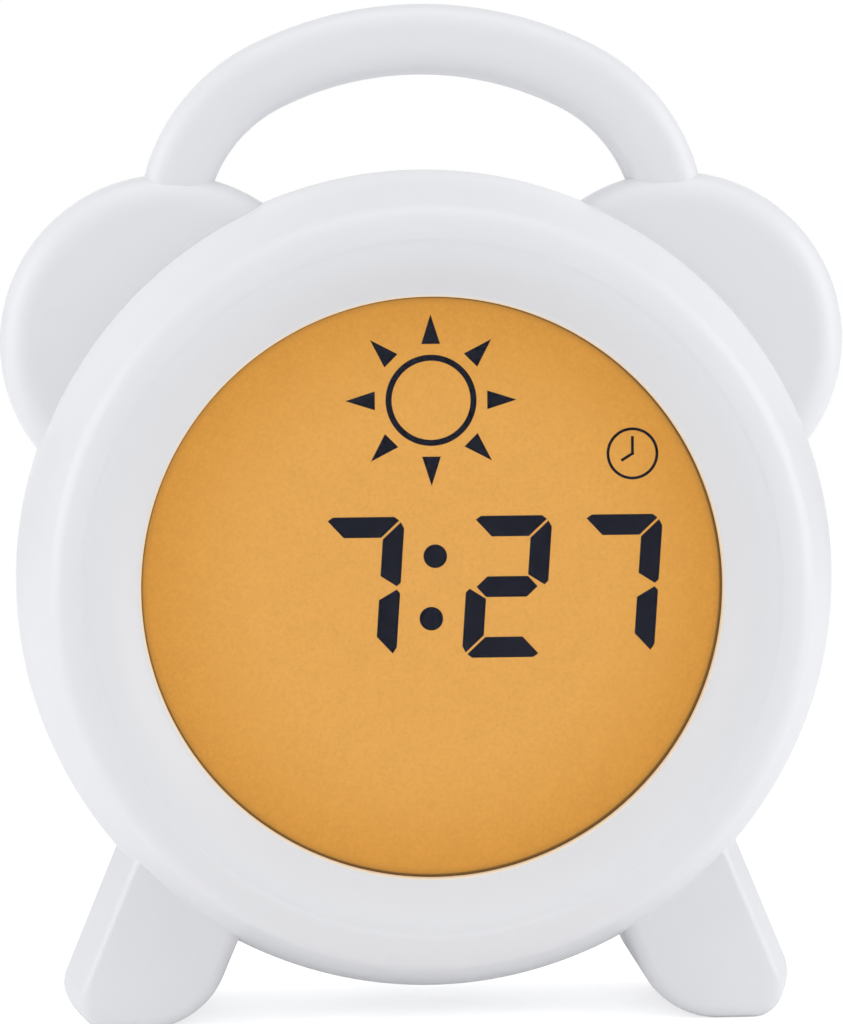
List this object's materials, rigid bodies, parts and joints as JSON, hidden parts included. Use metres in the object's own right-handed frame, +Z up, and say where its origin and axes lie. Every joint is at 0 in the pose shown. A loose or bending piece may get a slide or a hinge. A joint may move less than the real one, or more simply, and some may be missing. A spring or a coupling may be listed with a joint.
{
  "type": "kids alarm clock",
  "caption": "Round kids' alarm clock and night light on feet, with ears, a carry handle, an amber segment screen and a back with buttons, slide switches, speaker and battery door.",
  "frame": {"origin": "on the table under the middle of the clock, in the plane where the casing halves meet", "axes": "+X to the right seen from the front, +Y to the back, +Z up"},
  "size_m": [0.1294, 0.05, 0.1552],
  "materials": {
    "casing": "moulded ABS with a soft gloss, cool white",
    "lens": "clear acrylic, polished",
    "gasket": "black foam",
    "display": "amber backlit display glass, satin",
    "segments": "dark navy, matte",
    "light_guide": "milky acrylic",
    "tray": "white, matte",
    "led": "yellow phosphor",
    "circuit_board": "green solder mask, satin",
    "black_plastic": "black, matte",
    "steel": "plated, satin",
    "zebra": "striped silicone",
    "speaker_paper": "black paper, matte",
    "ribbon": "grey flat cable",
    "red_lead": "red insulation",
    "black_lead": "black insulation",
    "cell": "printed sleeve in plain green, bare metal ends",
    "button": "mid grey, satin",
    "plunger": "ivory, matte"
  },
  "bodies": {
    "casing": {"front_shell": "casing", "rear_shell": "casing", "screen_lens": "lens", "lens_gasket": "gasket", "lcd_glass": "display", "lcd_segments": "segments", "light_guide": "light_guide", "backlight_tray": "tray", "led_boards": "circuit_board", "backlight_leds": "led", "zebra_strip": "zebra", "main_board": "circuit_board", "board_parts": "black_plastic", "board_screws": "steel", "key_board": "circuit_board", "key_board_screws": "steel", "tact_switches": "black_plastic", "switch_housings": "steel", "usb_port": "steel", "usb_tongue": "black_plastic", "speaker_frame": "steel", "speaker_cone": "speaker_paper", "speaker_magnet": "steel", "board_ribbon": "ribbon", "speaker_leads": "red_lead", "battery_leads": "black_lead", "battery_cells": "cell", "battery_contacts": "steel", "contact_springs": "steel", "case_screws": "steel"},
    "battery_door": {"battery_door": "casing"},
    "mode_button": {"mode_button": "button", "mode_plunger": "plunger"},
    "set_button": {"set_button": "button", "set_plunger": "plunger"},
    "light_button": {"light_button": "button", "light_plunger": "plunger"},
    "down_button": {"down_button": "button", "down_plunger": "plunger"},
    "up_button": {"up_button": "button", "up_plunger": "plunger"},
    "alarm_switch": {"alarm_switch_knob": "button"},
    "volume_switch": {"volume_switch_knob": "button"}
  },
  "joints": [
    {"name": "mode_press", "type": "slide", "parent": "casing", "child": "mode_button", "axis": [0, -1, 0], "range_m": [0, 0.0005], "stiffness_N_per_m": 1000},
    {"name": "set_press", "type": "slide", "parent": "casing", "child": "set_button", "axis": [0, -1, 0], "range_m": [0, 0.0005], "stiffness_N_per_m": 1000},
    {"name": "light_press", "type": "slide", "parent": "casing", "child": "light_button", "axis": [0, -1, 0], "range_m": [0, 0.0005], "stiffness_N_per_m": 1000},
    {"name": "down_press", "type": "slide", "parent": "casing", "child": "down_button", "axis": [0, -1, 0], "range_m": [0, 0.0005], "stiffness_N_per_m": 1000},
    {"name": "up_press", "type": "slide", "parent": "casing", "child": "up_button", "axis": [0, -1, 0], "range_m": [0, 0.0005], "stiffness_N_per_m": 1000},
    {"name": "alarm_slide", "type": "slide", "parent": "casing", "child": "alarm_switch", "axis": [1, 0, 0], "range_m": [0, 0.0036]},
    {"name": "volume_slide", "type": "slide", "parent": "casing", "child": "volume_switch", "axis": [1, 0, 0], "range_m": [0, 0.0036]},
    {"name": "door_hinge", "type": "hinge", "parent": "casing", "child": "battery_door", "pos_m": [0, 0.025, 0.02385], "axis": [-1, 0, 0], "range_deg": [0, 60]}
  ]
}
